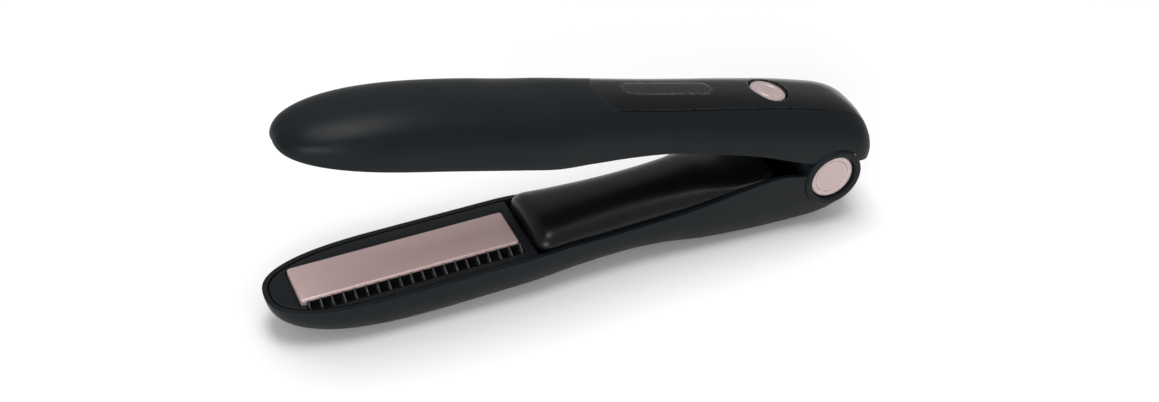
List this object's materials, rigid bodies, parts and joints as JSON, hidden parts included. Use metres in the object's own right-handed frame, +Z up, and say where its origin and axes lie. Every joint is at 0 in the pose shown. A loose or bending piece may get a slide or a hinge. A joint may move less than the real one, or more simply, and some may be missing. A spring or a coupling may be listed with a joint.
{
  "type": "cordless mini flat iron",
  "caption": "Cordless mini flat iron with two hinged clamp arms, sprung heater plates, side comb, battery bay, power button and push-through hinge lock.",
  "frame": {"origin": "centre of the rear land under the lower arm, on the surface the iron rests on", "axes": "+X from the tips to the hinge along the lower arm's resting line, +Z up away from the surface, -Y to the comb side"},
  "size_m": [0.204, 0.034, 0.0772],
  "materials": {
    "satin_black": "satin",
    "gloss_black": "gloss",
    "smoked_window": "gloss",
    "rose_plate": "satin coated",
    "rose_gold": "satin",
    "steel": "satin",
    "spring_steel": "satin",
    "nickel": "satin",
    "bearing": "satin",
    "insulator": "matt",
    "ceramic": "matt",
    "cell_wrap": "satin wrap",
    "circuit_green": "satin",
    "led_white": "gloss"
  },
  "bodies": {
    "lower_arm": {"lower_shell": "satin_black", "lower_plate_frame": "satin_black", "comb": "satin_black", "battery_cover": "gloss_black", "battery_cell": "cell_wrap", "battery_contact_front": "nickel", "battery_contact_rear": "nickel", "battery_cover_screw": "steel", "hinge_ring_near": "satin_black", "hinge_ring_far": "satin_black", "hinge_axle": "steel", "torsion_spring": "spring_steel", "hinge_washer_near": "nickel", "hinge_washer_far": "nickel", "lower_spring_front": "spring_steel", "lower_spring_rear": "spring_steel"},
    "lower_plate_body": {"lower_plate": "rose_plate", "lower_plate_carrier": "insulator", "lower_heater": "ceramic", "lower_thermal_fuse": "steel"},
    "upper_arm": {"upper_shell": "satin_black", "control_panel": "gloss_black", "indicator_window": "smoked_window", "button_guide": "satin_black", "upper_inner_cover": "gloss_black", "upper_plate_frame": "satin_black", "control_board": "circuit_green", "power_switch": "insulator", "status_led_1": "led_white", "status_led_2": "led_white", "status_led_3": "led_white", "charge_socket": "nickel", "charge_board": "circuit_green", "upper_cover_screw_front": "steel", "upper_cover_screw_rear": "steel", "upper_spring_front": "spring_steel", "upper_spring_rear": "spring_steel", "hinge_bush_near": "bearing", "hinge_bush_far": "bearing"},
    "upper_plate_body": {"upper_plate": "rose_plate", "upper_plate_carrier": "insulator", "upper_heater": "ceramic", "upper_thermal_fuse": "steel"},
    "power_button": {"power_button": "rose_gold", "switch_plunger": "insulator"},
    "hinge_lock": {"lock_pin": "steel", "lock_disc_near": "rose_gold", "lock_disc_far": "rose_gold"}
  },
  "joints": [
    {"name": "arm_hinge", "type": "hinge", "parent": "lower_arm", "child": "upper_arm", "pos_m": [0.01734, 0, 0.01959], "axis": [0, 1, 0], "range_deg": [-16, 0], "stiffness_Nm_per_rad": 1.2, "springref_deg": 14.32},
    {"name": "lower_plate_float", "type": "slide", "parent": "lower_arm", "child": "lower_plate_body", "axis": [-0.0362, 0, 0.9993], "range_m": [-0.0008, 0], "stiffness_N_per_m": 4000, "springref_m": 0.0004, "deforming": ["lower_spring_front", "lower_spring_rear"]},
    {"name": "upper_plate_float", "type": "slide", "parent": "upper_arm", "child": "upper_plate_body", "axis": [0.2406, 0, 0.9706], "range_m": [0, 0.0008], "stiffness_N_per_m": 4000, "springref_m": -0.0004, "deforming": ["upper_spring_front", "upper_spring_rear"]},
    {"name": "power_button_press", "type": "slide", "parent": "upper_arm", "child": "power_button", "axis": [0.2406, 0, 0.9706], "range_m": [-0.0008, 0], "stiffness_N_per_m": 1200, "springref_m": 0.0008},
    {"name": "hinge_lock_push", "type": "slide", "parent": "lower_arm", "child": "hinge_lock", "axis": [0, 1, 0], "range_m": [0, 0.0012]}
  ]
}
